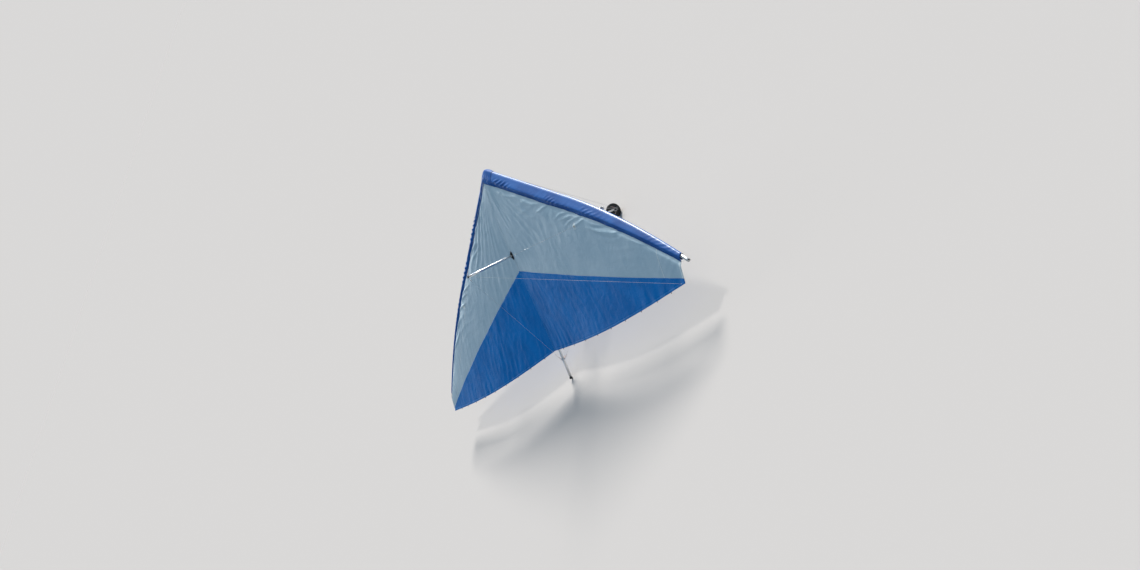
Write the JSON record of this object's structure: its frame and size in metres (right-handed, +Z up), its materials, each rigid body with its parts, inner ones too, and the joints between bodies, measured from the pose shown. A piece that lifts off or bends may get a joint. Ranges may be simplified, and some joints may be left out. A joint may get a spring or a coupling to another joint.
{
  "type": "hang glider",
  "caption": "Single-surface hang glider with kingpost, wire-braced control frame, training wheels and a white and blue sail, parked on its wheels and keel tail.",
  "frame": {"origin": "on the ground, under the middle of the bounding box", "axes": "+X to the pilot's left across the span, -Y towards the nose, +Z up"},
  "size_m": [10.2974, 2.9454, 2.2412],
  "materials": {
    "aluminium_tube": "satin anodised tube",
    "steel_fitting": "plain stainless plate",
    "stay_wire": "stranded stainless wire",
    "black_plastic": "moulded, slightly grained",
    "wheel_plastic": "moulded, slightly scuffed",
    "tyre_rubber": "dusty solid rubber",
    "white_cloth": "crisp woven sailcloth, slightly see-through, creased",
    "edge_cloth": "crisp woven sailcloth, mid blue, loosely wrinkled",
    "rear_cloth": "crisp woven sailcloth, azure blue",
    "webbing": "woven webbing"
  },
  "bodies": {
    "glider": {"keel_tube": "aluminium_tube", "keel_tail_cap": "black_plastic", "rear_wire_collar": "steel_fitting", "nose_bracket": "steel_fitting", "leading_edge_inboard_left": "aluminium_tube", "leading_edge_inboard_right": "aluminium_tube", "leading_edge_outboard_left": "aluminium_tube", "leading_edge_outboard_right": "aluminium_tube", "tip_plug_left": "black_plastic", "tip_plug_right": "black_plastic", "crossbar_left": "aluminium_tube", "crossbar_right": "aluminium_tube", "crossbar_hinge": "black_plastic", "crossbar_bracket_left": "steel_fitting", "crossbar_bracket_right": "steel_fitting", "kingpost": "aluminium_tube", "kingpost_base": "steel_fitting", "kingpost_head": "black_plastic", "upright_left": "aluminium_tube", "upright_right": "aluminium_tube", "apex_bracket": "black_plastic", "corner_bracket_left": "black_plastic", "corner_bracket_right": "black_plastic", "base_bar": "aluminium_tube", "stay_lower_front_left": "stay_wire", "stay_lower_front_right": "stay_wire", "stay_lower_rear_left": "stay_wire", "stay_lower_rear_right": "stay_wire", "stay_lower_side_left": "stay_wire", "stay_lower_side_right": "stay_wire", "stay_upper_side_left": "stay_wire", "stay_upper_side_right": "stay_wire", "stay_upper_front": "stay_wire", "stay_upper_rear": "stay_wire", "sail_main_left": "white_cloth", "sail_main_right": "white_cloth", "sail_rear_left": "rear_cloth", "sail_rear_right": "rear_cloth", "leading_edge_pocket_left": "edge_cloth", "leading_edge_pocket_right": "edge_cloth", "keel_pocket": "white_cloth", "nose_cone": "edge_cloth", "hang_strap": "webbing"},
    "left_wheel": {"wheel_left": "wheel_plastic", "tyre_left": "tyre_rubber"},
    "right_wheel": {"wheel_right": "wheel_plastic", "tyre_right": "tyre_rubber"}
  },
  "joints": [
    {"name": "wheel_left_spin", "type": "hinge", "parent": "glider", "child": "left_wheel", "pos_m": [0.59, -1.2735, 0.12407], "axis": [1, 0, 0], "continuous": true},
    {"name": "wheel_right_spin", "type": "hinge", "parent": "glider", "child": "right_wheel", "pos_m": [-0.59, -1.2735, 0.12407], "axis": [1, 0, 0], "continuous": true}
  ]
}
